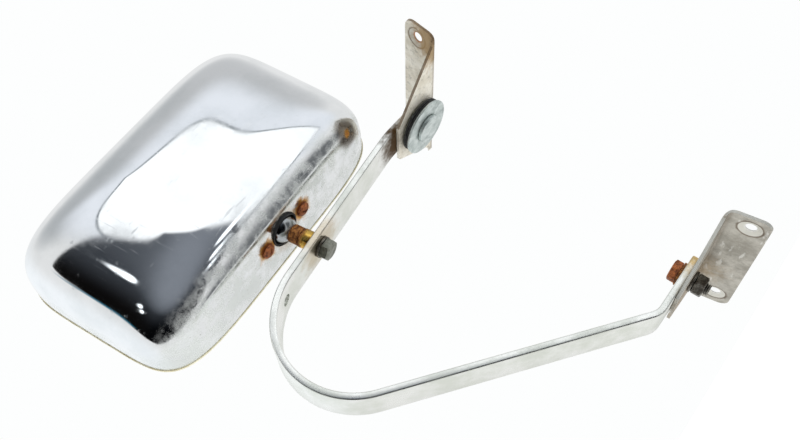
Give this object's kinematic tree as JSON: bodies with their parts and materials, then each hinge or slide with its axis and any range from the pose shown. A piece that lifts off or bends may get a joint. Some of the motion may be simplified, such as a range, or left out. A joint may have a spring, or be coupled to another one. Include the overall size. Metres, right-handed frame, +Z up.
{
  "type": "car side mirror",
  "caption": "Swing-away door mirror: chromed rectangular head on a ball stud, looped flat-bar arm, and a folded door bracket pivoting at each end of the bar.",
  "frame": {"origin": "on the lower bracket's door face, midway between its two screw holes", "axes": "X points away from the door, Y toward the front of the car with the glass facing -Y, Z up along the swing axis"},
  "size_m": [0.2762, 0.1201, 0.3923],
  "materials": {
    "chrome": "bright chromium plate on pressed steel, scratched, rust at the screws and the pit",
    "plated_bar": "worn dull chromium plate on flat bar, gold stains where plating thinned",
    "dull_plate": "dull plated sheet steel, scuffed, brown at edges and fold",
    "rusty_steel": "rusted plain steel",
    "grey_steel": "dull grey plated steel",
    "zinc": "galvanised steel, matt grey",
    "gold_zinc": "yellow zinc plate, rust-brown in places",
    "black_rubber": "black rubber, weathered",
    "pale_gasket": "aged cream glazing rubber",
    "mirror_glass": "silvered flat glass",
    "board": "pressed fibre board behind the glass"
  },
  "bodies": {
    "lower_bracket": {"lower_bracket": "dull_plate", "hinge_bolt": "rusty_steel", "hinge_washer": "gold_zinc", "hinge_lock_washer": "grey_steel", "hinge_nut": "grey_steel"},
    "arm": {"arm_strip": "plated_bar", "stud_bolt": "grey_steel", "stud_lock_washer": "grey_steel", "stud_sleeve": "gold_zinc"},
    "upper_bracket": {"upper_bracket": "dull_plate", "flat_washer": "grey_steel", "rubber_washer_upper": "black_rubber", "rubber_washer_lower": "black_rubber", "steel_washer": "zinc", "pivot_pin": "zinc", "pivot_washer": "grey_steel"},
    "ball": {"ball_stud": "rusty_steel"},
    "socket": {"socket_cup": "grey_steel"},
    "head": {"head_shell": "chrome", "mirror_glass": "mirror_glass", "glass_gasket": "pale_gasket", "glass_pad": "board", "ball_seal": "black_rubber", "clamp_plate": "grey_steel", "clamp_bridge": "grey_steel", "clamp_spring": "grey_steel", "socket_screw_inboard": "rusty_steel", "socket_screw_outboard": "rusty_steel", "socket_nut_inboard": "grey_steel", "socket_nut_outboard": "grey_steel"}
  },
  "joints": [
    {"name": "arm_swing", "type": "hinge", "parent": "lower_bracket", "child": "arm", "pos_m": [0.02162, -0.00885, 0.01888], "axis": [0, 0, 1], "range_deg": [-50, 40]},
    {"name": "upper_bracket_swing", "type": "hinge", "parent": "arm", "child": "upper_bracket", "pos_m": [0.02162, -0.00885, 0.23118], "axis": [0, 0, 1], "range_deg": [-48, 45]},
    {"name": "head_turn", "type": "hinge", "parent": "arm", "child": "ball", "pos_m": [0.14167, 0.0044, 0.24697], "axis": [0.1383, 0.0153, 0.9903], "range_deg": [-40, 40]},
    {"name": "head_tilt", "type": "hinge", "parent": "ball", "child": "socket", "pos_m": [0.14167, 0.0044, 0.24697], "axis": [0.9902, 0.1093, -0.0872], "range_deg": [-15, 15]},
    {"name": "head_roll", "type": "hinge", "parent": "socket", "child": "head", "pos_m": [0.14167, 0.0044, 0.24697], "axis": [-0.1097, 0.994, 0], "range_deg": [-5, 5]}
  ]
}
